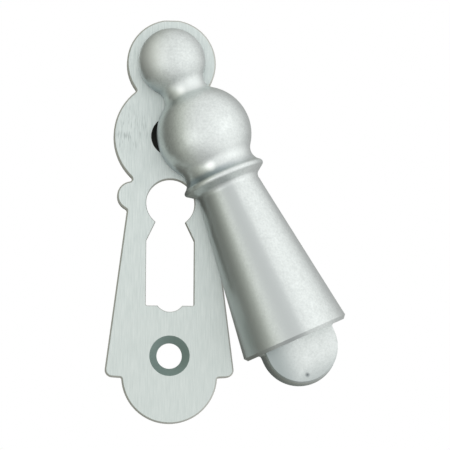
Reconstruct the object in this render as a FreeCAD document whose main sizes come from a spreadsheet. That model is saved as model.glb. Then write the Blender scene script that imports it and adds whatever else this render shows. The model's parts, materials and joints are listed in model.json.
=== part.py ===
import FreeCAD, Part
import math
import os
import Sketcher
from FreeCAD import Vector

# Covered keyhole escutcheon, in millimetres, standing as it is screwed to a door.
# X is to the right, Z is up and the viewer stands in front, at -Y.
# The back face of the plate lies in Y = 0, and the origin is halfway between its two screw holes.
# The drop cover hangs on a rivet at the head of the plate and is drawn swung aside.

SIZES = [
    ("plate_thickness", 2.0, "stamped plate, back face to front face"),
    ("plate_edge_break", 0.3, "chamfer on the plate's front outline"),
    ("keyhole_edge_break", 0.12, "chamfer on the keyhole's front edge"),
    ("screw_spacing", 41.3, "between the two screw holes, up and down"),
    ("screw_hole_diameter", 4.75, "clearance hole for the fixing screw"),
    ("countersink_diameter", 7.5, "countersink at the front face"),
    ("countersink_angle", 90.0, "full angle of both kinds of countersink"),
    ("pivot_above_screw", 14.0, "pivot above the upper screw hole"),
    ("head_lobe_radius", 8.42, "top of the plate, round the pivot"),
    ("head_flat_depth", 0.1, "ground off the top of the head"),
    ("head_brow_round", 4.0, "radius at the ends of that flat"),
    ("ball_lobe_radius", 10.8, "lobe round the upper screw hole"),
    ("notch_round", 0.5, "radius in the notches between the lobes"),
    ("collar_lobe_radius", 2.72, "small lobe beside the keyhole's head, touching the ball lobe"),
    ("collar_lobe_angle", 32.7, "from straight down, where that lobe sits on the ball lobe"),
    ("waist_half_width", 8.25, "centre line to the top of the taper"),
    ("waist_drop", 3.28, "small lobe's centre down to the top of the taper"),
    ("shoulder_half_width", 12.15, "centre line to the corner of the shoulder"),
    ("shoulder_drop", 3.9, "lower screw hole down to that corner"),
    ("shoulder_slope", 4.0, "fall of the shoulder's underside towards the centre"),
    ("shoulder_corner", 1.4, "radius of the shoulder's corner"),
    ("shoulder_step", 3.25, "how far the shoulder stands out beyond the half-round foot"),
    ("foot_drop", 3.7, "lower screw hole down to the foot's centre"),
    ("foot_notch_round", 0.3, "radius between shoulder and foot"),
    ("keyhole_head_radius", 4.57, "round head of the keyhole"),
    ("keyhole_head_drop", 12.65, "upper screw hole down to the keyhole's head"),
    ("keyhole_waist_half", 2.8, "centre line to the keyhole's narrowest point"),
    ("keyhole_slot_half", 4.5, "centre line to the side of the slot"),
    ("keyhole_flare_drop", 7.15, "keyhole's head down to the top of the slot"),
    ("keyhole_slot_drop", 19.33, "keyhole's head down to the foot of the slot"),
    ("keyhole_corner", 0.3, "radius of the slot's corners"),
    ("keyhole_bit_half", 2.3, "half the width of the dip under the slot"),
    ("keyhole_bit_depth", 1.15, "depth of the dip under the slot"),
    ("running_gap", 0.25, "air between plate and cover"),
    ("swing_angle", 24.2, "how far the cover is drawn swung aside"),
    ("cover_land", 1.2, "straight edge round the back of the cover"),
    ("cover_wall", 2.0, "wall of the hollow cover"),
    ("small_ball_radius", 6.3, "ball round the pivot"),
    ("big_ball_radius", 8.9, "ball over the upper screw"),
    ("big_ball_drop", 15.0, "pivot down to the big ball's centre"),
    ("ball_neck_round", 2.4, "hollow between the two balls"),
    ("cove_radius", 2.4, "hollow between the big ball and the collar"),
    ("collar_overhang", 2.25, "how far the crest of the collar stands out beyond the skirt's side"),
    ("collar_below_ball", 9.15, "big ball's centre down to the crest of the collar"),
    ("collar_bead_radius", 0.6, "round on the crest of the collar"),
    ("collar_flank_angle", 54.0, "underside of the collar, from the axis"),
    ("undercut_radius", 1.2, "hollow under the collar"),
    ("skirt_top_half_width", 5.7, "centre line to the skirt's side, at the height of that crest"),
    ("skirt_half_width", 10.35, "centre line to the skirt's side, at its foot"),
    ("skirt_drop", 57.3, "pivot down to the foot of the skirt"),
    ("skirt_edge_break", 0.65, "chamfer round the foot of the skirt"),
    ("tab_inset", 3.1, "skirt's side in to the side of the half-round finger tab"),
    ("tab_reach", 1.45, "foot of the skirt down to the tab's centre"),
    ("tab_thickness", 4.5, "finger tab, back to front"),
    ("tab_draft", 6.0, "lean of the tab's side, which narrows it to the front"),
    ("tab_edge_break", 0.25, "chamfer on the tab's front edge"),
    ("tab_root_round", 0.5, "radius between the tab and the skirt"),
    ("throat_wall", 1.8, "skirt's side, at the height of the crest, in to the hollow there"),
    ("rivet_diameter", 3.0, "shank of the pivot rivet"),
    ("rivet_head_diameter", 5.6, "countersunk head at the back of the plate"),
    ("rivet_clearance", 0.05, "running clearance round shank and head"),
    ("rivet_recess", 0.1, "head set below the back of the plate"),
    ("rivet_lead", 0.3, "chamfer on the end of the shank"),
    ("rivet_grip", 4.0, "length of the shank held in the small ball"),
    ("rivet_hole_spare", 0.4, "blind hole beyond the end of the shank"),
]

SAME_PLACE = 0.001
LEAST_CHANGE = 0.000001

# Heights on the plate, and distances down the cover's axis, worked out from the sizes.
# The core of the cover's hollow has eight straight sides to the turn behind the big ball.
UPPER_SCREW = "sizes.screw_spacing / 2"
LOWER_SCREW = "-sizes.screw_spacing / 2"
PIVOT = "sizes.screw_spacing / 2 + sizes.pivot_above_screw"
HEAD_TOP = PIVOT + " + sizes.head_lobe_radius - sizes.head_flat_depth"
LOBE_SPAN = "(sizes.ball_lobe_radius + sizes.collar_lobe_radius)"
COLLAR_LOBE_X = LOBE_SPAN + " * sin(sizes.collar_lobe_angle * 1 deg)"
COLLAR_LOBE_Z = UPPER_SCREW + " - " + LOBE_SPAN + " * cos(sizes.collar_lobe_angle * 1 deg)"
WAIST_Z = COLLAR_LOBE_Z + " - sizes.waist_drop"
SHOULDER_Z = LOWER_SCREW + " - sizes.shoulder_drop"
FOOT_Z = LOWER_SCREW + " - sizes.foot_drop"
FOOT_RADIUS = "sizes.shoulder_half_width - sizes.shoulder_step"
KEYHOLE_HEAD_Z = UPPER_SCREW + " - sizes.keyhole_head_drop"
SLOT_TOP_Z = KEYHOLE_HEAD_Z + " - sizes.keyhole_flare_drop"
SLOT_FOOT_Z = KEYHOLE_HEAD_Z + " - sizes.keyhole_slot_drop"
COLLAR_DROP = "(sizes.big_ball_drop + sizes.collar_below_ball)"
BEAD_X = "sizes.skirt_top_half_width + sizes.collar_overhang - sizes.collar_bead_radius"
CORE_HALF_SIDE = "22.5 deg"
CORE_SLANT = "45 deg"
CORE_RADIUS = "(sizes.big_ball_radius - sizes.cover_wall)"
CORE_LONG = CORE_RADIUS + " * cos(" + CORE_HALF_SIDE + ")"
CORE_SHORT = CORE_RADIUS + " * sin(" + CORE_HALF_SIDE + ")"
THROAT_HALF = "sizes.skirt_top_half_width - sizes.throat_wall"
HOLLOW_FOOT_Z = "-(sizes.skirt_drop - sizes.cover_wall)"
SKIRT_ANGLE = "atan((sizes.skirt_half_width - sizes.skirt_top_half_width)" \
              " / (sizes.skirt_drop - " + COLLAR_DROP + "))"
HOLLOW_SKIRT_HALF = "sizes.skirt_half_width - sizes.cover_wall / cos(" + SKIRT_ANGLE + ")"
COVER_FLAT_Y = "-(sizes.plate_thickness + sizes.running_gap + sizes.cover_land)"
TAB_RADIUS = "sizes.skirt_half_width - sizes.tab_inset"
TAB_ROOT_Z = "-(sizes.skirt_drop - sizes.cover_wall / 2)"
TAB_CENTRE_Z = "-(sizes.skirt_drop + sizes.tab_reach)"
RIVET_SLOPE = "tan(sizes.countersink_angle / 2 * 1 deg)"
RIVET_FACE_HALF = "sizes.rivet_head_diameter / 2 - sizes.rivet_recess * " + RIVET_SLOPE
RIVET_CONE = "(sizes.rivet_head_diameter - sizes.rivet_diameter) / 2 / " + RIVET_SLOPE
RIVET_END = "sizes.plate_thickness + sizes.running_gap + sizes.rivet_grip"


def make_sheet(document):
    """Put every driving size in a cell of its own, under its name."""
    sheet = document.addObject("Spreadsheet::Sheet", "sizes")
    for row, (name, number, meaning) in enumerate(SIZES, start=1):
        sheet.set("A%d" % row, name)
        sheet.set("B%d" % row, str(number))
        sheet.set("C%d" % row, meaning)
        sheet.setAlias("B%d" % row, name)
    document.recompute()
    return sheet


doc = FreeCAD.newDocument("escutcheon")
sizes = make_sheet(doc)


def number(text):
    """The present value of an expression on the sheet."""
    return float(sizes.evalExpression(text))


def size(name):
    """The present value of one size."""
    return number("sizes." + name)


# Plane geometry, which gives a sketch's arcs and lines their first places.

def polar(centre, radius, direction):
    """The point at this distance from centre, the way that direction points."""
    return centre + Vector(direction).normalize() * radius


def circles_meet(centre_a, radius_a, centre_b, radius_b, side):
    """Where two circles cross; side 1 or -1 picks the crossing left or right of a to b."""
    along = centre_b - centre_a
    distance = along.Length
    near = (distance ** 2 + radius_a ** 2 - radius_b ** 2) / (2 * distance)
    height = math.sqrt(radius_a ** 2 - near ** 2)
    along.normalize()
    across = Vector(-along.y, along.x, 0)
    return centre_a + along * near + across * (side * height)


def line_meets_circle(point, direction, centre, radius, side):
    """Where a line crosses a circle; side 1 or -1 picks the later or the earlier crossing."""
    along = Vector(direction).normalize()
    foot = (centre - point).dot(along)
    nearest = point + along * foot
    half = math.sqrt(radius ** 2 - (centre - nearest).Length ** 2)
    return nearest + along * (side * half)


def lines_meet(point_a, along_a, point_b, along_b):
    """Where two lines cross."""
    span = along_a.x * along_b.y - along_a.y * along_b.x
    gap = point_b - point_a
    reach = (gap.x * along_b.y - gap.y * along_b.x) / span
    return point_a + along_a * reach


def left_of(direction, distance):
    """A shift of this length to the left of a direction."""
    along = Vector(direction).normalize()
    return Vector(-along.y, along.x, 0) * distance


def foot_on(point, start, direction):
    """The point of a line that is nearest to another point."""
    along = Vector(direction).normalize()
    return start + along * (point - start).dot(along)


class Outline:
    """A closed run of lines and arcs in a sketch, with its sizes bound to the sheet."""

    def __init__(self, sketch, start):
        self.sketch = sketch
        self.place = start
        self.runs = []

    def line(self, end, smooth=False):
        """A straight run to end; smooth means tangent to the run before."""
        edge = self.sketch.addGeometry(Part.LineSegment(self.place, end), False)
        self.runs.append((edge, 1, 2, smooth))
        self.place = end
        return edge

    def arc(self, centre, end, clockwise=True, smooth=False):
        """An arc about centre to end."""
        circle = Part.Circle(centre, Vector(0, 0, 1), (self.place - centre).Length)
        here = circle.parameter(self.place)
        there = circle.parameter(end)
        first, last = (there, here) if clockwise else (here, there)
        edge = self.sketch.addGeometry(Part.ArcOfCircle(circle, first, last), False)
        begin, finish = (2, 1) if clockwise else (1, 2)
        self.runs.append((edge, begin, finish, smooth))
        self.place = end
        return edge

    def close(self):
        """Join every run to the next, and the last one to the first."""
        for before, after in zip(self.runs, self.runs[1:] + self.runs[:1]):
            kind = "Tangent" if after[3] else "Coincident"
            self.sketch.addConstraint(
                Sketcher.Constraint(kind, before[0], before[2], after[0], after[1]))

    def ends(self, edge):
        """The number of an edge's end that comes last on the way round."""
        return [run[2] for run in self.runs if run[0] == edge][0]


def bind(sketch, kind, *where, to):
    """Add a dimension to a sketch and tie it to an expression on the sheet."""
    amount = math.radians(number(to)) if kind == "Angle" else number(to)
    index = sketch.addConstraint(Sketcher.Constraint(kind, *where, amount))
    sketch.setExpression("Constraints[%d]" % index, to)


def radius(sketch, edge, name):
    """Give an arc the radius that a size or expression names."""
    bind(sketch, "Radius", edge, to=name if "sizes." in name else "sizes." + name)


def pin_centre(sketch, edge, across, height):
    """Fix an arc's centre; across is None where it lies on the centre line."""
    if across is None:
        sketch.addConstraint(Sketcher.Constraint("PointOnObject", edge, 3, -2))
    else:
        bind(sketch, "DistanceX", -1, 1, edge, 3, to=across)
    bind(sketch, "DistanceY", -1, 1, edge, 3, to=height)


def on_axis(sketch, edge, end):
    """Keep one end of an edge on the centre line."""
    sketch.addConstraint(Sketcher.Constraint("PointOnObject", edge, end, -2))


def level(sketch, edge):
    """Keep an edge level."""
    sketch.addConstraint(Sketcher.Constraint("Horizontal", edge))


def upright(sketch, edge):
    """Keep an edge upright."""
    sketch.addConstraint(Sketcher.Constraint("Vertical", edge))


def at(across, height):
    """A point of a sketch, from two expressions or numbers."""
    values = [number(item) if isinstance(item, str) else item for item in (across, height)]
    return Vector(values[0], values[1], 0)


def passes(sketch, line, across, height):
    """Make a line pass through the point that two expressions give."""
    mark = sketch.addGeometry(Part.Point(at(across, height)), True)
    bind(sketch, "DistanceX", -1, 1, mark, 1, to=across)
    bind(sketch, "DistanceY", -1, 1, mark, 1, to=height)
    sketch.addConstraint(Sketcher.Constraint("PointOnObject", mark, 1, line))


def new_body(name):
    """A body whose label is the name of its piece."""
    body = doc.addObject("PartDesign::Body", name)
    body.Label = name
    return body


def plane_of(body, role):
    """One of the body's own origin planes."""
    return [item for item in body.Origin.OriginFeatures if item.Role == role][0]


def front_sketch(body, name, forward="0"):
    """A sketch facing the viewer, in the body's XZ plane or this far in front of it."""
    sketch = body.newObject("Sketcher::SketchObject", name)
    sketch.AttachmentSupport = [(plane_of(body, "XZ_Plane"), "")]
    sketch.MapMode = "FlatFace"
    sketch.setExpression("AttachmentOffset.Base.z", forward)
    doc.recompute()
    return sketch


def volume_of(feature):
    """The volume of a feature's shape, or nothing where it has none yet."""
    return feature.Shape.Volume if feature is not None and not feature.Shape.isNull() else 0.0


def settled(feature, before, grows):
    """Recompute and make sure that a feature added or removed material."""
    doc.recompute()
    change = volume_of(feature) - before
    if (change > 0) != grows or abs(change) < LEAST_CHANGE:
        raise RuntimeError("%s left the volume changed by %.4f" % (feature.Name, change))
    return feature


def pad(body, sketch, name, length, backwards=False, draft="0"):
    """Thicken a sketch towards the viewer, or backwards; draft narrows it on the way."""
    before = volume_of(body.Tip)
    feature = body.newObject("PartDesign::Pad", name)
    feature.Profile = sketch
    feature.setExpression("Length", length)
    feature.setExpression("TaperAngle", "-(" + draft + ") * 1 deg")
    feature.Reversed = backwards
    return settled(feature, before, True)


def pocket(body, sketch, name, length=None, forwards=False):
    """Cut a sketch into the body, right through or to a depth."""
    before = volume_of(body.Tip)
    feature = body.newObject("PartDesign::Pocket", name)
    feature.Profile = sketch
    feature.Reversed = forwards
    if length is None:
        feature.Type = "ThroughAll"
        feature.Midplane = True
    else:
        feature.setExpression("Length", length)
    return settled(feature, before, False)


def mirror(body, features, name, grows=True):
    """Repeat features on the other side of the centre line."""
    before = volume_of(body.Tip)
    feature = body.newObject("PartDesign::Mirrored", name)
    feature.Originals = features
    feature.MirrorPlane = (plane_of(body, "YZ_Plane"), [""])
    body.Tip = feature
    return settled(feature, before, grows)


def countersunk_hole(body, sketch, name, bore, mouth, forwards=False):
    """Drill the sketch's circles right through, with a countersink where the sketch lies."""
    before = volume_of(body.Tip)
    doc.recompute()
    hole = body.newObject("PartDesign::Hole", name)
    hole.Profile = sketch
    hole.DepthType = "ThroughAll"
    hole.Reversed = forwards
    hole.setExpression("Diameter", bore)
    hole.HoleCutType = "Countersink"
    hole.HoleCutCustomValues = True
    hole.setExpression("HoleCutDiameter", mouth)
    hole.setExpression("HoleCutCountersinkAngle", "sizes.countersink_angle")
    return settled(hole, before, False)


def break_edges(body, kind, name, amount, wanted):
    """Put a Fillet or a Chamfer on the edges of the body that the test picks out."""
    base = body.Tip
    edges = enumerate(base.Shape.Edges, start=1)
    names = ["Edge%d" % count for count, edge in edges if wanted(edge)]
    if not names:
        raise RuntimeError("%s found no edge" % name)
    feature = body.newObject("PartDesign::" + kind, name)
    feature.Base = (base, names)
    feature.setExpression({"Fillet": "Radius", "Chamfer": "Size"}[kind], "sizes." + amount)
    doc.recompute()
    return feature


def lies_at(edge, y):
    """True where an edge lies wholly at this depth."""
    box = edge.BoundBox
    return abs(box.YMin - y) < SAME_PLACE and abs(box.YMax - y) < SAME_PLACE


# The back plate.

def plate_outline(body):
    """The right half of the plate: head, ball lobe, collar lobe, taper, shoulder and foot."""
    sketch = front_sketch(body, "plate_half_outline")
    notch = size("notch_round")
    head = at(0.0, PIVOT)
    ball = at(0.0, UPPER_SCREW)
    collar = at(COLLAR_LOBE_X, COLLAR_LOBE_Z)
    foot = at(0.0, FOOT_Z)
    head_r = size("head_lobe_radius")
    ball_r = size("ball_lobe_radius")
    collar_r = size("collar_lobe_radius")
    foot_r = number(FOOT_RADIUS)
    waist = at("sizes.waist_half_width", WAIST_Z)
    shoulder = at("sizes.shoulder_half_width", SHOULDER_Z)
    taper = shoulder - waist
    slope = math.radians(size("shoulder_slope"))
    inwards = Vector(-math.cos(slope), -math.sin(slope), 0)

    top = at(0.0, HEAD_TOP)
    brow_r = size("head_brow_round")
    brow = line_meets_circle(top - Vector(0, brow_r, 0), Vector(1, 0, 0), head, head_r - brow_r, 1)
    neck = circles_meet(head, head_r + notch, ball, ball_r + notch, 1)
    throat = circles_meet(ball, ball_r + notch, collar, collar_r + notch, 1)
    hip = line_meets_circle(waist + left_of(taper, notch), taper, collar, collar_r + notch, 1)
    corner_r = size("shoulder_corner")
    corner = lines_meet(waist + left_of(taper, -corner_r), taper,
                        shoulder + left_of(inwards, -corner_r), inwards)
    heel_r = size("foot_notch_round")
    heel = line_meets_circle(shoulder + left_of(inwards, heel_r), inwards, foot, foot_r + heel_r, -1)

    way = Outline(sketch, top)
    flat = way.line(brow + Vector(0, brow_r, 0))
    brow_arc = way.arc(brow, polar(brow, brow_r, brow - head), smooth=True)
    head_arc = way.arc(head, polar(head, head_r, neck - head), smooth=True)
    neck_arc = way.arc(neck, polar(neck, notch, ball - neck), clockwise=False, smooth=True)
    ball_arc = way.arc(ball, polar(ball, ball_r, throat - ball), smooth=True)
    throat_arc = way.arc(throat, polar(throat, notch, collar - throat), clockwise=False, smooth=True)
    collar_arc = way.arc(collar, polar(collar, collar_r, hip - collar), smooth=True)
    hip_arc = way.arc(hip, foot_on(hip, waist, taper), clockwise=False, smooth=True)
    taper_line = way.line(foot_on(corner, waist, taper), smooth=True)
    corner_arc = way.arc(corner, foot_on(corner, shoulder, inwards), smooth=True)
    shoulder_line = way.line(foot_on(heel, shoulder, inwards), smooth=True)
    heel_arc = way.arc(heel, polar(heel, heel_r, foot - heel), clockwise=False, smooth=True)
    foot_arc = way.arc(foot, foot - Vector(0, foot_r, 0), smooth=True)
    axis_line = way.line(top)
    way.close()

    level(sketch, flat)
    on_axis(sketch, axis_line, 1)
    on_axis(sketch, axis_line, 2)
    bind(sketch, "DistanceY", -1, 1, flat, 1, to=HEAD_TOP)
    pin_centre(sketch, head_arc, None, PIVOT)
    pin_centre(sketch, ball_arc, None, UPPER_SCREW)
    pin_centre(sketch, collar_arc, COLLAR_LOBE_X, COLLAR_LOBE_Z)
    pin_centre(sketch, foot_arc, None, FOOT_Z)
    bind(sketch, "Angle", -1, shoulder_line, to="180 deg + sizes.shoulder_slope * 1 deg")
    passes(sketch, taper_line, "sizes.waist_half_width", WAIST_Z)
    passes(sketch, taper_line, "sizes.shoulder_half_width", SHOULDER_Z)
    passes(sketch, shoulder_line, "sizes.shoulder_half_width", SHOULDER_Z)
    for edge, name in ((head_arc, "head_lobe_radius"), (brow_arc, "head_brow_round"),
                       (ball_arc, "ball_lobe_radius"),
                       (collar_arc, "collar_lobe_radius"), (foot_arc, FOOT_RADIUS),
                       (neck_arc, "notch_round"), (throat_arc, "notch_round"),
                       (hip_arc, "notch_round"), (corner_arc, "shoulder_corner"),
                       (heel_arc, "foot_notch_round")):
        radius(sketch, edge, name)
    return sketch


def keyhole_outline(body):
    """The right half of the keyhole: round head, flare, slot and the dip below it."""
    sketch = front_sketch(body, "keyhole_half_outline")
    head = at(0.0, KEYHOLE_HEAD_Z)
    head_r = size("keyhole_head_radius")
    waist_half = size("keyhole_waist_half")
    waist = head + Vector(waist_half, -math.sqrt(head_r ** 2 - waist_half ** 2), 0)
    slot_top = at("sizes.keyhole_slot_half", SLOT_TOP_Z)
    corner_r = size("keyhole_corner")
    corner = at("sizes.keyhole_slot_half", SLOT_FOOT_Z) + Vector(-corner_r, corner_r, 0)
    bit = at("sizes.keyhole_bit_half", SLOT_FOOT_Z)
    bit_foot = at(0.0, SLOT_FOOT_Z + " - sizes.keyhole_bit_depth")
    bit_radius = "(pow(sizes.keyhole_bit_half; 2) + pow(sizes.keyhole_bit_depth; 2))" \
                 " / (2 * sizes.keyhole_bit_depth)"
    bit_centre = bit_foot + Vector(0, number(bit_radius), 0)

    way = Outline(sketch, head + Vector(0, head_r, 0))
    head_arc = way.arc(head, waist)
    way.line(slot_top)
    side = way.line(corner + Vector(corner_r, 0, 0))
    corner_arc = way.arc(corner, corner - Vector(0, corner_r, 0), smooth=True)
    sill = way.line(bit, smooth=True)
    bit_arc = way.arc(bit_centre, bit_foot)
    axis_line = way.line(head + Vector(0, head_r, 0))
    way.close()

    on_axis(sketch, axis_line, 1)
    on_axis(sketch, axis_line, 2)
    pin_centre(sketch, head_arc, None, KEYHOLE_HEAD_Z)
    radius(sketch, head_arc, "keyhole_head_radius")
    bind(sketch, "DistanceX", -1, 1, head_arc, way.ends(head_arc), to="sizes.keyhole_waist_half")
    bind(sketch, "DistanceX", -1, 1, side, 1, to="sizes.keyhole_slot_half")
    bind(sketch, "DistanceY", -1, 1, side, 1, to=SLOT_TOP_Z)
    upright(sketch, side)
    radius(sketch, corner_arc, "keyhole_corner")
    level(sketch, sill)
    bind(sketch, "DistanceY", -1, 1, sill, 2, to=SLOT_FOOT_Z)
    bind(sketch, "DistanceX", -1, 1, sill, 2, to="sizes.keyhole_bit_half")
    on_axis(sketch, bit_arc, 3)
    radius(sketch, bit_arc, bit_radius)
    return sketch


def circles(body, name, spots, diameter, forward="0"):
    """A sketch of equal circles on the centre line, at the given heights."""
    sketch = front_sketch(body, name, forward)
    for height in spots:
        circle = Part.Circle(at(0.0, height), Vector(0, 0, 1), number(diameter) / 2)
        edge = sketch.addGeometry(circle, False)
        pin_centre(sketch, edge, None, height)
        bind(sketch, "Diameter", edge, to=diameter)
    return sketch


def make_back_plate():
    """Flat stamped plate with its keyhole, two screw holes and the pivot bore."""
    body = new_body("back_plate")
    half = pad(body, plate_outline(body), "half_plate", "sizes.plate_thickness")
    half_keyhole = pocket(body, keyhole_outline(body), "half_keyhole")
    mirror(body, [half, half_keyhole], "whole_plate")
    front = -size("plate_thickness")

    keyhole_top = number(KEYHOLE_HEAD_Z) + size("keyhole_head_radius")
    keyhole_foot = number(SLOT_FOOT_Z) - size("keyhole_bit_depth")
    keyhole_half = max(size("keyhole_slot_half"), size("keyhole_head_radius"))

    def on_keyhole(edge):
        middle = edge.BoundBox.Center
        beside = abs(middle.x) < keyhole_half + SAME_PLACE
        return lies_at(edge, front) and beside and keyhole_foot <= middle.z <= keyhole_top

    def on_outline(edge):
        return lies_at(edge, front) and not on_keyhole(edge)

    break_edges(body, "Chamfer", "outline_break", "plate_edge_break", on_outline)
    break_edges(body, "Chamfer", "keyhole_break", "keyhole_edge_break", on_keyhole)

    bore = "sizes.screw_hole_diameter"
    screws = circles(body, "screw_centres", (UPPER_SCREW, LOWER_SCREW), bore, "sizes.plate_thickness")
    countersunk_hole(body, screws, "screw_holes", bore, "sizes.countersink_diameter")

    bore = "sizes.rivet_diameter + 2 * sizes.rivet_clearance"
    mouth = "sizes.rivet_head_diameter + 2 * sizes.rivet_clearance"
    pivot = circles(body, "pivot_centre", (PIVOT,), bore)
    countersunk_hole(body, pivot, "pivot_bore", bore, mouth, forwards=True)
    return body


# The drop cover, in its own frame: the pivot at the origin, the axis down -Z,
# and the flat of the half-turned form in the XZ plane.

def skirt_direction():
    """Down the side of the skirt."""
    top = at("sizes.skirt_top_half_width", "-" + COLLAR_DROP)
    return (at("sizes.skirt_half_width", "-sizes.skirt_drop") - top).normalize()


def cover_outline(body):
    """Half of the turned profile: small ball, big ball, collar and skirt."""
    sketch = front_sketch(body, "turned_profile")
    small = at(0.0, 0.0)
    small_r = size("small_ball_radius")
    big = at(0.0, "-sizes.big_ball_drop")
    big_r = size("big_ball_radius")
    neck_r = size("ball_neck_round")
    cove_r = size("cove_radius")
    bead = at(BEAD_X, "-" + COLLAR_DROP)
    bead_r = size("collar_bead_radius")
    flank_angle = math.radians(size("collar_flank_angle"))
    flank = Vector(-math.sin(flank_angle), -math.cos(flank_angle), 0)
    undercut_r = size("undercut_radius")
    skirt_foot = at("sizes.skirt_half_width", "-sizes.skirt_drop")
    skirt = skirt_direction()
    edge_break = size("skirt_edge_break")

    neck = circles_meet(small, small_r + neck_r, big, big_r + neck_r, 1)
    cove = circles_meet(big, big_r + cove_r, bead, bead_r + cove_r, 1)
    bead_foot = bead + left_of(flank, bead_r)
    undercut = lines_meet(bead_foot + left_of(flank, undercut_r), flank,
                          skirt_foot + left_of(skirt, undercut_r), skirt)
    foot_middle = at(0.0, "-sizes.skirt_drop")

    way = Outline(sketch, small + Vector(0, small_r, 0))
    small_arc = way.arc(small, polar(small, small_r, neck - small))
    neck_arc = way.arc(neck, polar(neck, neck_r, big - neck), clockwise=False, smooth=True)
    big_arc = way.arc(big, polar(big, big_r, cove - big), smooth=True)
    cove_arc = way.arc(cove, polar(cove, cove_r, bead - cove), clockwise=False, smooth=True)
    bead_arc = way.arc(bead, bead_foot, smooth=True)
    flank_line = way.line(foot_on(undercut, bead_foot, flank), smooth=True)
    undercut_arc = way.arc(undercut, foot_on(undercut, skirt_foot, skirt), clockwise=False,
                           smooth=True)
    skirt_line = way.line(skirt_foot - skirt * edge_break, smooth=True)
    break_line = way.line(skirt_foot - Vector(edge_break, 0, 0))
    foot_line = way.line(foot_middle)
    axis_line = way.line(small + Vector(0, small_r, 0))
    way.close()

    on_axis(sketch, axis_line, 1)
    on_axis(sketch, axis_line, 2)
    sketch.addConstraint(Sketcher.Constraint("Coincident", small_arc, 3, -1, 1))
    pin_centre(sketch, big_arc, None, "-sizes.big_ball_drop")
    pin_centre(sketch, bead_arc, BEAD_X, "-" + COLLAR_DROP)
    bind(sketch, "Angle", -2, flank_line, to="180 deg - sizes.collar_flank_angle * 1 deg")
    passes(sketch, skirt_line, "sizes.skirt_top_half_width", "-" + COLLAR_DROP)
    passes(sketch, skirt_line, "sizes.skirt_half_width", "-sizes.skirt_drop")
    level(sketch, foot_line)
    bind(sketch, "DistanceY", -1, 1, foot_line, 2, to="-sizes.skirt_drop")
    bind(sketch, "DistanceX", -1, 1, foot_line, 1, to="sizes.skirt_half_width - sizes.skirt_edge_break")
    bind(sketch, "DistanceY", foot_line, 1, break_line, 1,
         to="sizes.skirt_edge_break * cos(" + SKIRT_ANGLE + ")")
    for edge, name in ((small_arc, "small_ball_radius"), (neck_arc, "ball_neck_round"),
                       (big_arc, "big_ball_radius"), (cove_arc, "cove_radius"),
                       (bead_arc, "collar_bead_radius"), (undercut_arc, "undercut_radius")):
        radius(sketch, edge, name)
    return sketch


def hollow_outline(body):
    """Half of the hollow behind the big ball, the collar and the skirt."""
    sketch = front_sketch(body, "hollow_profile")
    ball = at(0.0, "-sizes.big_ball_drop")
    long = number(CORE_LONG)
    short = number(CORE_SHORT)
    inwards = Vector(-1, -math.tan(math.radians(number(CORE_SLANT))), 0)
    wall = size("cover_wall")
    skirt = skirt_direction()
    inner_side = at("sizes.skirt_half_width", "-sizes.skirt_drop") + left_of(skirt, -wall)
    jaw = ball + Vector(long, -short, 0)
    throat_top = jaw + inwards * (long - number(THROAT_HALF))
    throat_foot = lines_meet(throat_top, Vector(0, -1, 0), inner_side, skirt)
    foot = at(0.0, HOLLOW_FOOT_Z)
    corner = lines_meet(inner_side, skirt, foot, Vector(-1, 0, 0))

    way = Outline(sketch, ball + Vector(0, long, 0))
    crown = way.line(ball + Vector(short, long, 0))
    way.line(ball + Vector(long, short, 0))
    cheek = way.line(jaw)
    slant = way.line(throat_top)
    throat = way.line(throat_foot)
    side = way.line(corner)
    foot_line = way.line(foot)
    axis_line = way.line(ball + Vector(0, long, 0))
    way.close()

    on_axis(sketch, axis_line, 1)
    on_axis(sketch, axis_line, 2)
    level(sketch, crown)
    bind(sketch, "DistanceX", -1, 1, crown, 2, to=CORE_SHORT)
    bind(sketch, "DistanceY", -1, 1, crown, 2, to="-sizes.big_ball_drop + " + CORE_LONG)
    upright(sketch, cheek)
    bind(sketch, "DistanceX", -1, 1, cheek, 1, to=CORE_LONG)
    bind(sketch, "DistanceY", -1, 1, cheek, 1, to="-sizes.big_ball_drop + " + CORE_SHORT)
    bind(sketch, "DistanceY", -1, 1, cheek, 2, to="-sizes.big_ball_drop - " + CORE_SHORT)
    bind(sketch, "Angle", -2, slant, to="180 deg - " + CORE_SLANT)
    upright(sketch, throat)
    bind(sketch, "DistanceX", -1, 1, throat, 1, to=THROAT_HALF)
    bind(sketch, "Angle", -2, side, to="180 deg + " + SKIRT_ANGLE)
    passes(sketch, side, HOLLOW_SKIRT_HALF, "-sizes.skirt_drop")
    level(sketch, foot_line)
    bind(sketch, "DistanceY", -1, 1, foot_line, 2, to=HOLLOW_FOOT_Z)
    return sketch


def tab_outline(body):
    """The finger tab: straight sides out of the skirt and a half-round end."""
    sketch = front_sketch(body, "tab_outline", "-sizes.cover_land")
    tab_r = number(TAB_RADIUS)
    centre = at(0.0, TAB_CENTRE_Z)
    root = number(TAB_ROOT_Z)

    way = Outline(sketch, Vector(-tab_r, root, 0))
    root_line = way.line(Vector(tab_r, root, 0))
    right = way.line(centre + Vector(tab_r, 0, 0))
    end = way.arc(centre, centre - Vector(tab_r, 0, 0), smooth=True)
    left = way.line(Vector(-tab_r, root, 0), smooth=True)
    way.close()

    level(sketch, root_line)
    upright(sketch, right)
    upright(sketch, left)
    pin_centre(sketch, end, None, TAB_CENTRE_Z)
    radius(sketch, end, TAB_RADIUS)
    bind(sketch, "DistanceY", -1, 1, right, 1, to=TAB_ROOT_Z)
    return sketch


def turn(body, kind, sketch, name, angle, reverse=False):
    """Turn a profile about its upright axis, adding a Revolution or cutting a Groove."""
    before = volume_of(body.Tip)
    feature = body.newObject(kind, name)
    feature.Profile = sketch
    feature.ReferenceAxis = (sketch, ["V_Axis"])
    feature.Angle = angle
    feature.Reversed = reverse
    return settled(feature, before, kind.endswith("Revolution"))


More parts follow.
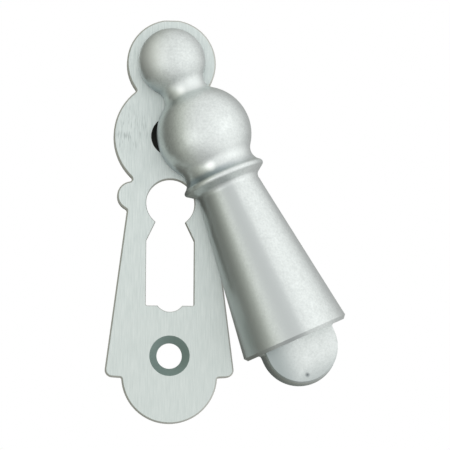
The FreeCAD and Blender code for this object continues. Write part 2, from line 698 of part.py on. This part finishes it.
def make_drop_cover():
    """Half-turned cover: balls, collar and skirt, hollow behind, with a finger tab at its foot."""
    body = new_body("drop_cover")
    profile = cover_outline(body)
    land = pad(body, profile, "half_land", "sizes.cover_land", backwards=True)
    mirror(body, [land], "whole_land")
    turn(body, "PartDesign::Revolution", profile, "turned_front", 180, reverse=True)
    pad(body, tab_outline(body), "finger_tab", "sizes.tab_thickness", draft="sizes.tab_draft")

    hollow = hollow_outline(body)
    turn(body, "PartDesign::Groove", hollow, "turned_hollow", 180, reverse=True)
    half_mouth = pocket(body, hollow, "half_mouth", "sizes.cover_land")
    mirror(body, [half_mouth], "whole_mouth", grows=False)

    shank = circles(body, "rivet_centre", ("0",), "sizes.rivet_diameter", "-sizes.cover_land")
    pocket(body, shank, "rivet_hole", "sizes.rivet_grip + sizes.rivet_hole_spare", forwards=True)

    tab_front = size("cover_land") - size("tab_thickness")
    tab_lean = number("sizes.tab_thickness * tan(sizes.tab_draft * 1 deg)")
    foot = -size("skirt_drop")

    def tab_root(edge):
        box = edge.BoundBox
        beside = number(TAB_RADIUS) - tab_lean < abs(box.Center.x) < number(TAB_RADIUS)
        at_foot = abs(box.ZMin - foot) < SAME_PLACE and box.ZLength < SAME_PLACE
        return beside and at_foot and box.YLength > box.XLength

    def tab_rim(edge):
        return lies_at(edge, tab_front) and edge.BoundBox.ZMin < foot - SAME_PLACE

    break_edges(body, "Chamfer", "tab_rim", "tab_edge_break", tab_rim)
    break_edges(body, "Fillet", "tab_roots", "tab_root_round", tab_root)

    body.setExpression("Placement.Base.y", COVER_FLAT_Y)
    body.setExpression("Placement.Base.z", PIVOT)
    body.Placement.Rotation = FreeCAD.Rotation(Vector(0, -1, 0), size("swing_angle"))
    body.setExpression("Placement.Rotation.Angle", "sizes.swing_angle")
    return body


# The pivot rivet, with its axis along Y.

def make_pivot_rivet():
    """Countersunk rivet, flush in the back of the plate, its shank held in the small ball."""
    body = new_body("pivot_rivet")
    sketch = body.newObject("Sketcher::SketchObject", "rivet_profile")
    sketch.AttachmentSupport = [(plane_of(body, "XY_Plane"), "")]
    sketch.MapMode = "FlatFace"
    doc.recompute()
    shank_half = "sizes.rivet_diameter / 2"
    tip_half = shank_half + " - sizes.rivet_lead"

    way = Outline(sketch, at(0.0, "-sizes.rivet_recess"))
    face = way.line(at(RIVET_FACE_HALF, "-sizes.rivet_recess"))
    way.line(at(shank_half, "-(" + RIVET_CONE + ")"))
    side = way.line(at(shank_half, "-(" + RIVET_END + " - sizes.rivet_lead)"))
    way.line(at(tip_half, "-(" + RIVET_END + ")"))
    tip = way.line(at(0.0, "-(" + RIVET_END + ")"))
    axis_line = way.line(at(0.0, "-sizes.rivet_recess"))
    way.close()

    on_axis(sketch, axis_line, 1)
    on_axis(sketch, axis_line, 2)
    level(sketch, face)
    level(sketch, tip)
    upright(sketch, side)
    bind(sketch, "DistanceY", face, 1, -1, 1, to="sizes.rivet_recess")
    bind(sketch, "DistanceX", -1, 1, face, 2, to=RIVET_FACE_HALF)
    bind(sketch, "DistanceX", -1, 1, side, 1, to=shank_half)
    bind(sketch, "DistanceY", side, 1, -1, 1, to=RIVET_CONE)
    bind(sketch, "DistanceY", side, 2, -1, 1, to=RIVET_END + " - sizes.rivet_lead")
    bind(sketch, "DistanceX", -1, 1, tip, 1, to=tip_half)
    bind(sketch, "DistanceY", tip, 1, -1, 1, to=RIVET_END)
    turn(body, "PartDesign::Revolution", sketch, "rivet", 360)
    body.setExpression("Placement.Base.z", PIVOT)
    return body


def check(bodies):
    """Stop if an object failed, a piece isn't one sound solid or the cover reaches the plate."""
    for item in doc.Objects:
        if "Invalid" in item.State or "Error" in item.State:
            raise RuntimeError("%s failed: %s" % (item.Name, item.State))
    for body in bodies:
        shape = body.Shape
        if shape.isNull() or not shape.isValid() or len(shape.Solids) != 1:
            raise RuntimeError("%s isn't one sound solid" % body.Label)
    plate, cover, rivet = bodies
    for fixed, moving in ((plate, cover), (plate, rivet), (rivet, cover)):
        if fixed.Shape.common(moving.Shape).Volume > LEAST_CHANGE:
            raise RuntimeError("%s and %s overlap" % (fixed.Label, moving.Label))


pieces = (make_back_plate(), make_drop_cover(), make_pivot_rivet())
doc.recompute()
check(pieces)
os.makedirs("parts", exist_ok=True)
for piece in pieces:
    piece.Shape.exportStep("parts/%s.step" % piece.Label)
    print("%s: %.1f cubic mm" % (piece.Label, piece.Shape.Volume))
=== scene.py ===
"""Covered keyhole escutcheon: satin chrome back plate with a cast drop cover, swung aside."""

import json
import math

import bpy
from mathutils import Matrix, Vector


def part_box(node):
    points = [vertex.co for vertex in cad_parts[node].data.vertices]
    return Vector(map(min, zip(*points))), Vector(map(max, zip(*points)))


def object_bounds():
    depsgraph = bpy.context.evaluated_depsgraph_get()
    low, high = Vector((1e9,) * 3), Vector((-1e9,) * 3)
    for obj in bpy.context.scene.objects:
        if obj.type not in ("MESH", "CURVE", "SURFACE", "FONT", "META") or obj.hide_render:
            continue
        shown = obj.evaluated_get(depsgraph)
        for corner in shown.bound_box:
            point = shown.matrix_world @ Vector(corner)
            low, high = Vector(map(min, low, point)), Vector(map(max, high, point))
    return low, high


MM = 0.001

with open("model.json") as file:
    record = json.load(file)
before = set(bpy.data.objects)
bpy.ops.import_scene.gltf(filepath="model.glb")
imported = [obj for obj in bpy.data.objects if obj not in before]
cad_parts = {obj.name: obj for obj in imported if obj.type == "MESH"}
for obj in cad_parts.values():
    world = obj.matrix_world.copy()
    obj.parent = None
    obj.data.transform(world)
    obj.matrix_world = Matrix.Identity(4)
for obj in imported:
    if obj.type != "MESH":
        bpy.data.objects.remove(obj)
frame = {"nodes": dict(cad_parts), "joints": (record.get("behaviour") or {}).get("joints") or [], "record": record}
cad_low, cad_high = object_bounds()

# The plate: its screws lie on its centre line and its front faces -Y. A countersink's tone ends at
# this radius, a hair over its rim's, fading over RIM, and at the depth at which its cone has ended.
SCREW_HEIGHT = frame["record"]["mounts"][0]["dims"]["spacing_y_mm"] * MM / 2
PLATE_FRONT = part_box("back_plate")[0][1]
COUNTERSINK = 3.76 * MM
COUNTERSINK_FOOT = -0.6 * MM
RIM = 0.02 * MM

# The cover: it leans this far about the pivot. Its skirt runs down its axis from the collar to the
# foot, told from the pivot, and is this wide there to each side.
PIVOT_HEIGHT = frame["joints"][0]["pos_m"][2]
SWING = math.radians(-24.2)
SKIRT_TOP = 24.15 * MM
SKIRT_FOOT = 57.3 * MM
SKIRT_TOP_HALF = 5.7 * MM
SKIRT_FOOT_HALF = 10.35 * MM
LAND_FRONT = -3.45 * MM
TAB_FRONT = -6.75 * MM

# Marks that the finishes draw, as seen from the front, painted highlights among them.
SCRATCHED = (-8.2 * MM, 0.0, 21.6 * MM)
NECK_HIGHLIGHT = (1.5 * MM, 0.0, 28.3 * MM)
COVE_HIGHLIGHT = (6.9 * MM, 0.0, 13.9 * MM)
BALL_SIDE_HIGHLIGHT = (-6.4 * MM, 0.0, 34.9 * MM)
SMALL_BALL = (0.0, 0.0, PIVOT_HEIGHT)
TAB_PIT = (25.2 * MM, 0.0, -24.2 * MM)

# Sizes of the patterns. Real satin brushing is about 0.05 mm wide and real bead blasting about
# 0.1 mm across. Both are too fine to show in the render, so they are drawn as coarse as this.
BRUSHED_WIDTH = 0.22 * MM
BRUSHED_LENGTH = 3.5 * MM
SCRATCH_WIDTH = 0.18 * MM
SCRATCH_LENGTH = 1.8 * MM
BLASTED_GRAIN = 0.4 * MM
CASTING_CLOUD = 1.2 * MM
STEEL_GRAIN = 0.3 * MM

# Camera: it stands a little to the left of the object and below it. Angles are in degrees, and
# the frame is this wide where the camera aims.
FRAME_WIDTH = 84.49 * MM
CAMERA_DISTANCE = 340 * MM
CAMERA_AZIMUTH = -4.3
CAMERA_ELEVATION = -6.9
CAMERA_ROLL = 0.2
CAMERA_AIM = Vector((10.25 * MM, -2.0 * MM, 3.93 * MM))
SENSOR = 36.0

# What the metal mirrors: a big soft light to the right of the camera and a little above it,
# falling off to a dim room on the left. Each stop is a place from the dim side, 0, to the
# light, 1, and the brightness there. The dim side has a faint tint.
LIGHT_SIDE = (0.83, -0.52, 0.1)
LIGHT_FALL = ((0.02, 0.2), (0.12, 0.25), (0.21, 0.42), (0.32, 0.66),
              (0.48, 0.79), (0.7, 0.88), (1.0, 1.0))
LIGHT_LEVEL = 1.36
DIM_BELOW = 0.7
DIM_TINT = (0.97, 1.0, 0.9)
BEHIND_LEVEL = 0.5
BELOW_LEVEL = 0.58
ROOM_LEVEL = 0.6

# Two weak softboxes, each with its azimuth and elevation in degrees and its power in watts.
SOFTBOXES = {"right_softbox": (46, 14, 0.07), "left_softbox": (-34, -15, 0.1)}
SOFTBOX_DISTANCE = 0.5
SOFTBOX_SIZE = 0.3

FLOOR_SIZE = 1.2
FLOOR_DROP = 150 * MM


def colour(hex_code):
    """A colour written as sRGB hex, as the linear RGBA that a socket takes."""
    channels = [int(hex_code[i:i + 2], 16) / 255 for i in (1, 3, 5)]
    linear = [c / 12.92 if c <= 0.04045 else ((c + 0.055) / 1.055) ** 2.4 for c in channels]
    return (*linear, 1.0)


def grey(level):
    """A plain level from black, 0, to white, 1, as the RGBA that a socket takes."""
    return (level, level, level, 1.0)


def node(tree, kind, inputs=None, stops=(), curve="LINEAR", **settings):
    """Add a node with its settings.

    Inputs are told by name or number. A socket, or a node's first output, is linked to its
    input, and anything else is set there. A ramp's stops are pairs of place and colour.
    """
    made = tree.nodes.new(kind)
    for name, value in settings.items():
        setattr(made, name, value)
    for key, value in (inputs or {}).items():
        if isinstance(value, bpy.types.Node):
            value = value.outputs[0]
        if isinstance(value, bpy.types.NodeSocket):
            tree.links.new(value, made.inputs[key])
        else:
            made.inputs[key].default_value = value
    if stops:
        made.color_ramp.interpolation = curve
        elements = made.color_ramp.elements
        while len(elements) < len(stops):
            elements.new(0.5)
        for element, (place, shade) in zip(elements, stops):
            element.position = place
            element.color = shade
    return made


def new_material(name):
    """An empty node material, and its tree."""
    material = bpy.data.materials.new(name)
    material.use_nodes = True
    material.node_tree.nodes.clear()
    return material, material.node_tree


def add_surface(tree, inputs):
    """Close a material with its shader and output."""
    shader = node(tree, "ShaderNodeBsdfPrincipled", inputs)
    node(tree, "ShaderNodeOutputMaterial", {"Surface": shader})


def near(tree, place, spot, inner, outer, deepest):
    """A mask seen from the front: 1 within inner of a spot, 0 from outer on or behind deepest."""
    flat = node(tree, "ShaderNodeVectorMath", {0: place, 1: (1.0, 0.0, 1.0)}, operation="MULTIPLY")
    away = node(tree, "ShaderNodeVectorMath", {0: flat, 1: spot}, operation="DISTANCE")
    mask = node(tree, "ShaderNodeMapRange", {"Value": away.outputs["Value"], "From Min": inner,
                                             "From Max": outer, "To Min": 1.0, "To Max": 0.0})
    depth = node(tree, "ShaderNodeSeparateXYZ", {"Vector": place}).outputs["Y"]
    in_front = node(tree, "ShaderNodeMath", {0: depth, 1: deepest}, operation="LESS_THAN")
    return node(tree, "ShaderNodeMath", {0: mask, 1: in_front}, operation="MULTIPLY")


def layered(tree, base, layers):
    """A base colour with tones laid over it in turn, each as far as all of its masks let it."""
    for tone, share, *masks in layers:
        for mask in masks:
            share = node(tree, "ShaderNodeMath", {0: share, 1: mask}, operation="MULTIPLY")
        laid = node(tree, "ShaderNodeMix", {0: share, 6: base, 7: colour(tone)}, data_type="RGBA")
        base = laid.outputs[2]
    return base


def brushed_plate():
    """Satin chrome on stamped steel, brushed up and down in front: fine upright lines, soft gloss.

    The countersinks were cut after brushing and plated thin: dull and dark. The upper one is darkest,
    its tone deepened with painted shade where the cover overhangs it.
    """
    material, tree = new_material("satin_chrome_brushed")
    place = node(tree, "ShaderNodeTexCoord").outputs["Object"]
    parts = node(tree, "ShaderNodeSeparateXYZ", {"Vector": place}).outputs
    lines = node(tree, "ShaderNodeMapping", {
        "Vector": place, "Scale": (1 / BRUSHED_WIDTH, 1 / BRUSHED_WIDTH, 1 / BRUSHED_LENGTH)})
    grain = node(tree, "ShaderNodeTexNoise", {
        "Vector": lines, "Scale": 1.0, "Detail": 3.0, "Roughness": 0.6})
    brushed = node(tree, "ShaderNodeValToRGB", {"Fac": grain},
                   [(0.32, colour("#CBD3D1")), (0.68, colour("#DBE1DF"))])

    # Short scratches on the ball lobe, where the cover's edge has been caught by fingers.
    dashes = node(tree, "ShaderNodeMapping", {
        "Vector": place, "Scale": (1 / SCRATCH_WIDTH, 0.0, 1 / SCRATCH_LENGTH)})
    streaky = node(tree, "ShaderNodeTexNoise", {"Vector": dashes, "Scale": 1.0, "Detail": 1.0})
    scratches = node(tree, "ShaderNodeMapRange", {
        "Value": streaky, "From Min": 0.54, "From Max": 0.68, "To Max": 0.4})
    patch = near(tree, place, SCRATCHED, 2 * MM, 6 * MM, PLATE_FRONT + 0.01 * MM)

    # The plate is darker towards the bottom.
    darker_downwards = node(tree, "ShaderNodeMapRange", {
        "Value": parts["Z"], "From Min": SCREW_HEIGHT, "From Max": -SCREW_HEIGHT, "To Max": 0.35})

    # The stamped edges are left as they were cut, with a warmer and darker plating. Both faces
    # stay out of it.
    inwards = node(tree, "ShaderNodeMapRange", {
        "Value": parts["Y"], "From Min": PLATE_FRONT, "From Max": 0.0})
    cut_edge = node(tree, "ShaderNodeValToRGB", {"Fac": inwards},
                    [(0.005, grey(0)), (0.03, grey(1)), (0.99, grey(1)), (1.0, grey(0))])

    # The upper countersink's near-black tone is painted shade under the cover, over its dull plating.
    lower, upper = [near(tree, place, (0.0, 0.0, height), COUNTERSINK - RIM, COUNTERSINK,
                         COUNTERSINK_FOOT) for height in (-SCREW_HEIGHT, SCREW_HEIGHT)]
    finish = layered(tree, brushed, [
        ("#7F8987", scratches, patch),
        ("#C5CBC7", darker_downwards),
        ("#C0C1BB", cut_edge),
        ("#90A19C", lower),
        ("#3E403C", upper)])
    bump = node(tree, "ShaderNodeBump", {
        "Height": grain, "Strength": 0.3, "Distance": 0.01 * MM})
    add_surface(tree, {"Base Color": finish, "Metallic": 1.0, "Roughness": 0.66, "Normal": bump})
    return material


def blasted_cover():
    """Satin chrome on a bead-blasted casting: an even, fine grain, a little cloudy, soft gloss.

    Its hollows and the left of its small ball carry painted highlights, and the small ball is rougher than the
    rest.
    Its back edge, above the collar and the finger tab carry painted shade, and painted dark streaks run down the
    skirt.
    """
    material, tree = new_material("satin_chrome_blasted")
    place = node(tree, "ShaderNodeTexCoord").outputs["Object"]
    grain = node(tree, "ShaderNodeTexNoise", {
        "Vector": place, "Scale": 1 / BLASTED_GRAIN, "Detail": 3.0, "Roughness": 0.7})
    cloud = node(tree, "ShaderNodeTexNoise", {
        "Vector": place, "Scale": 1 / CASTING_CLOUD, "Detail": 2.0})
    both = node(tree, "ShaderNodeMix", {0: 0.25, 2: grain, 3: cloud})
    blasted = node(tree, "ShaderNodeValToRGB", {"Fac": both},
                   [(0.35, colour("#C6CBC9")), (0.65, colour("#D8DDDB"))])

    # Places by the cover's own axis: X across it, Z up it from the pivot, and down as a share of
    # the way from the pivot to the skirt.
    along = node(tree, "ShaderNodeMapping", {
        "Vector": place, "Location": SMALL_BALL, "Rotation": (0.0, SWING, 0.0)},
        vector_type="TEXTURE")
    parts = node(tree, "ShaderNodeSeparateXYZ", {"Vector": along}).outputs
    down = node(tree, "ShaderNodeMapRange", {
        "Value": parts["Z"], "From Min": 0.0, "From Max": -SKIRT_TOP})

    # Painted shade along the back edge and above the collar, most on the left, away from the light: darker tones
    # laid where shade falls.
    left = node(tree, "ShaderNodeMapRange", {
        "Value": parts["X"], "From Min": 4 * MM, "From Max": -3 * MM, "To Min": 0.2},
        interpolation_type="SMOOTHSTEP")
    back_edge_shade = node(tree, "ShaderNodeMapRange", {
        "Value": parts["Y"], "From Min": LAND_FRONT - 3.2 * MM, "From Max": LAND_FRONT},
        interpolation_type="SMOOTHSTEP")
    above_collar_shade = node(tree, "ShaderNodeValToRGB", {"Fac": down},
                        [(0.915, grey(0)), (0.945, grey(1)), (0.97, grey(1)), (0.985, grey(0))])

    # Painted highlights in the neck, the cove and on the left of the small ball: lighter tones laid where the
    # light catches them.
    hollow_highlights = node(tree, "ShaderNodeValToRGB", {"Fac": down},
                   [(0.19, grey(0)), (0.25, grey(0.7)), (0.29, grey(0.7)), (0.35, grey(0)),
                    (0.82, grey(0)), (0.86, grey(0.3)), (0.89, grey(0.3)), (0.92, grey(0))])
    painted_highlights = [near(tree, place, spot, 0.1 * MM, reach, PLATE_FRONT) for spot, reach in (
        (NECK_HIGHLIGHT, 1.1 * MM), (COVE_HIGHLIGHT, 1.2 * MM), (BALL_SIDE_HIGHLIGHT, 6 * MM))]

    # Painted dark reflections run down the skirt in streaks and spread as it does.
    half_width = node(tree, "ShaderNodeMapRange", {
        "Value": parts["Z"], "From Min": -SKIRT_FOOT, "From Max": -SKIRT_TOP,
        "To Min": SKIRT_FOOT_HALF, "To Max": SKIRT_TOP_HALF}, clamp=False)
    across = node(tree, "ShaderNodeMath", {0: parts["X"], 1: half_width}, operation="DIVIDE")
    share_across = node(tree, "ShaderNodeMapRange", {
        "Value": across, "From Min": -1.0, "From Max": 1.0})
    painted_streaks = node(tree, "ShaderNodeValToRGB", {"Fac": share_across},
                   [(0.0, grey(1)), (0.2, grey(0.8)), (0.28, grey(0)), (0.37, grey(1)),
                    (0.5, grey(1)), (0.56, grey(0)), (0.8, grey(0))], "B_SPLINE")
    below_collar = node(tree, "ShaderNodeMapRange", {
        "Value": parts["Z"], "From Min": -SKIRT_TOP, "From Max": -SKIRT_TOP - 3 * MM},
        interpolation_type="SMOOTHSTEP")
    above_foot = node(tree, "ShaderNodeMapRange", {
        "Value": parts["Z"], "From Min": -SKIRT_FOOT - 0.01 * MM,
        "From Max": -SKIRT_FOOT + 0.01 * MM})

    # Painted shade on the finger tab: darker towards its left side and its end.
    tab_side = node(tree, "ShaderNodeMapRange", {
        "Value": parts["X"], "From Min": 0.0, "From Max": -6 * MM},
        interpolation_type="SMOOTHSTEP")
    tab_end = node(tree, "ShaderNodeMapRange", {
        "Value": parts["Z"], "From Min": -SKIRT_FOOT - 4 * MM, "From Max": -SKIRT_FOOT - 8 * MM,
        "To Max": 0.6}, interpolation_type="SMOOTHSTEP")
    tab_shade = node(tree, "ShaderNodeMath", {0: tab_side, 1: tab_end}, operation="MAXIMUM")
    tab_face = node(tree, "ShaderNodeMath", {0: parts["Y"], 1: TAB_FRONT + 0.3 * MM},
                    operation="LESS_THAN")
    below_foot = node(tree, "ShaderNodeMath", {0: 1.0, 1: above_foot}, operation="SUBTRACT")
    pit = near(tree, place, TAB_PIT, 0.05 * MM, 0.55 * MM, TAB_FRONT + 0.05 * MM)

    # Over the grain: painted shade, painted highlights and painted dark streaks, then the tab's painted shade and
    # its pit.
    finish = layered(tree, blasted, [
        ("#A6AFB1", back_edge_shade, left),
        ("#98A2A6", above_collar_shade, left),
        ("#DCE1DF", hollow_highlights),
        *[("#F8FBFA", spot) for spot in painted_highlights],
        ("#B3B8B7", painted_streaks, below_collar, above_foot),
        ("#9AA2A1", tab_shade, tab_face, below_foot),
        ("#6A7072", pit)])
    bump = node(tree, "ShaderNodeBump", {
        "Height": grain, "Strength": 0.4, "Distance": 0.015 * MM})
    small_ball = near(tree, place, SMALL_BALL, 5.5 * MM, 7.5 * MM, PLATE_FRONT)
    rough = node(tree, "ShaderNodeMapRange", {
        "Value": small_ball, "To Min": 0.36, "To Max": 0.5})
    add_surface(tree, {"Base Color": finish, "Metallic": 1.0, "Roughness": rough, "Normal": bump})
    return material


def plain_rivet():
    """Plain steel, its head faced off flush: a cool grey, faintly mottled."""
    material, tree = new_material("plain_steel")
    place = node(tree, "ShaderNodeTexCoord").outputs["Object"]
    grain = node(tree, "ShaderNodeTexNoise", {"Vector": place, "Scale": 1 / STEEL_GRAIN})
    mottled = node(tree, "ShaderNodeValToRGB", {"Fac": grain},
                   [(0.3, colour("#9C9F9B")), (0.7, colour("#B4B6B2"))])
    add_surface(tree, {"Base Color": mottled, "Metallic": 1.0, "Roughness": 0.38})
    return material


def dress(node_name, material):
    """Give a CAD node its finish."""
    mesh = frame["nodes"][node_name].data
    mesh.materials.clear()
    mesh.materials.append(material)


def stand(thing, azimuth, elevation, distance):
    """Stand a camera or lamp off from the aim, facing it."""
    turn = math.radians(azimuth)
    rise = math.radians(elevation)
    out = Vector((math.sin(turn) * math.cos(rise), -math.cos(turn) * math.cos(rise),
                  math.sin(rise)))
    thing.location = CAMERA_AIM + out * distance
    thing.rotation_euler = (-out).to_track_quat("-Z", "Y").to_euler()
    bpy.context.scene.collection.objects.link(thing)


def make_camera():
    """A camera at the photograph's viewing angle."""
    data = bpy.data.cameras.new("camera")
    data.sensor_width = SENSOR
    data.lens = SENSOR * CAMERA_DISTANCE / FRAME_WIDTH
    data.clip_start = CAMERA_DISTANCE / 10
    data.clip_end = 10.0
    camera = bpy.data.objects.new("camera", data)
    stand(camera, CAMERA_AZIMUTH, CAMERA_ELEVATION, CAMERA_DISTANCE)
    camera.rotation_euler.rotate_axis("Z", math.radians(CAMERA_ROLL))
    bpy.context.scene.camera = camera


def make_world():
    """White behind the object for the camera; for the metal, a soft room lit from the right."""
    world = bpy.data.worlds.new("studio")
    bpy.context.scene.world = world
    world.use_nodes = True
    tree = world.node_tree
    tree.nodes.clear()
    way = node(tree, "ShaderNodeTexCoord").outputs["Generated"]
    parts = node(tree, "ShaderNodeSeparateXYZ", {"Vector": way}).outputs
    towards = node(tree, "ShaderNodeVectorMath", {0: way, 1: LIGHT_SIDE}, operation="DOT_PRODUCT")
    place = node(tree, "ShaderNodeMapRange", {
        "Value": towards.outputs["Value"], "From Min": -1.0, "From Max": 1.0})
    stops = []
    for stop, level in LIGHT_FALL:
        tint = DIM_TINT if level < DIM_BELOW else (1.0, 1.0, 1.0)
        stops.append((stop, (*(level * part for part in tint), 1.0)))
    fall = node(tree, "ShaderNodeValToRGB", {"Fac": place}, stops, "B_SPLINE")
    behind = node(tree, "ShaderNodeMapRange", {
        "Value": parts["Y"], "From Min": -0.2, "From Max": 0.8,
        "To Min": LIGHT_LEVEL, "To Max": LIGHT_LEVEL * BEHIND_LEVEL},
        interpolation_type="SMOOTHSTEP")
    below = node(tree, "ShaderNodeMapRange", {
        "Value": parts["Z"], "From Min": -1.0, "From Max": -0.45,
        "To Min": BELOW_LEVEL, "To Max": 1.0}, interpolation_type="SMOOTHSTEP")
    strength = node(tree, "ShaderNodeMath", {0: behind, 1: below}, operation="MULTIPLY")
    mirrored = node(tree, "ShaderNodeBackground", {"Color": fall, "Strength": strength})
    plain = node(tree, "ShaderNodeBackground", {"Color": grey(1), "Strength": ROOM_LEVEL})
    white = node(tree, "ShaderNodeBackground", {"Color": grey(1), "Strength": 1.0})
    path = node(tree, "ShaderNodeLightPath").outputs
    metal = node(tree, "ShaderNodeMixShader", {0: path["Is Glossy Ray"], 1: plain, 2: mirrored})
    seen = node(tree, "ShaderNodeMixShader", {0: path["Is Camera Ray"], 1: metal, 2: white})
    node(tree, "ShaderNodeOutputWorld", {"Surface": seen})


def make_softbox(name, azimuth, elevation, power):
    """A soft square lamp that faces the object."""
    data = bpy.data.lights.new(name, "AREA")
    data.size = SOFTBOX_SIZE
    data.energy = power
    stand(bpy.data.objects.new(name, data), azimuth, elevation, SOFTBOX_DISTANCE)


def make_floor():
    """A pale floor well below the object, which hangs on a door. It shows as white."""
    material, tree = new_material("pale_floor")
    path = node(tree, "ShaderNodeLightPath").outputs
    add_surface(tree, {"Base Color": colour("#E8E8E8"), "Roughness": 0.9,
                       "Emission Color": grey(1), "Emission Strength": path["Is Camera Ray"]})
    bpy.ops.mesh.primitive_plane_add(size=FLOOR_SIZE, location=(0, 0, cad_low.z - FLOOR_DROP))
    floor = bpy.context.object
    floor.name = "floor"
    floor.data.materials.append(material)
    floor.visible_glossy = False


dress("back_plate", brushed_plate())
dress("drop_cover", blasted_cover())
dress("pivot_rivet", plain_rivet())
make_camera()
make_world()
make_floor()
for lamp, place_and_power in SOFTBOXES.items():
    make_softbox(lamp, *place_and_power)

scene = bpy.context.scene
scene.view_settings.view_transform = "Standard"
